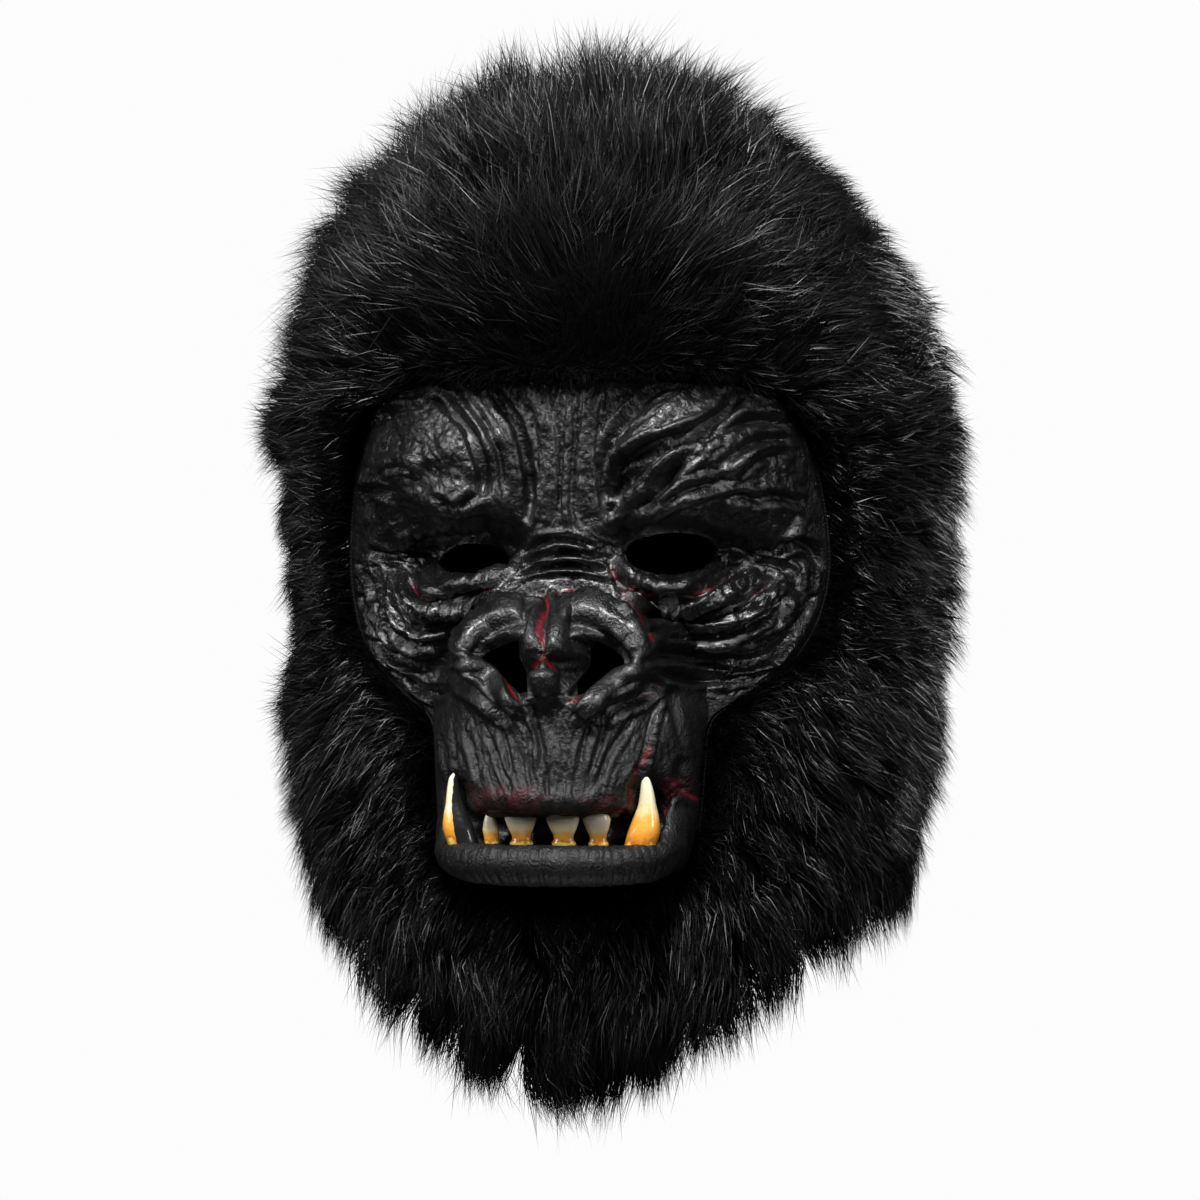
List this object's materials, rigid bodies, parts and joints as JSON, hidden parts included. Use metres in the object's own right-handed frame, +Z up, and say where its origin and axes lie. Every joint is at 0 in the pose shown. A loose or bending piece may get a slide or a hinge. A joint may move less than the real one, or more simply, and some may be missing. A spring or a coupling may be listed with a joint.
{
  "type": "gorilla mask",
  "caption": "Over-the-head gorilla mask: a black moulded rubber face with open eyes and nostrils, bared fangs and teeth, and a hood and beard of deep black faux fur.",
  "frame": {"origin": "inside of the crown, where the hood sits on the top of the head", "axes": "+Z up; the face looks along -Y; +X is the wearer's left"},
  "size_m": [0.2335, 0.2483, 0.34],
  "materials": {
    "rubber": "black moulded latex, semi-matte, with a thin dark red undercoat in its creases",
    "cloth": "black knitted fur backing, matte",
    "fur": "black long-pile faux fur with a silky shine",
    "enamel": "cream painted teeth with orange-yellow roots, glossy"
  },
  "bodies": {
    "root": {"face": "rubber", "hood_cloth": "cloth", "hood_fur": "fur", "beard_fur": "fur", "left_fang": "enamel", "left_outer_tooth": "enamel", "left_middle_tooth": "enamel", "right_middle_tooth": "enamel", "right_outer_tooth": "enamel", "right_fang": "enamel"}
  },
  "joints": []
}
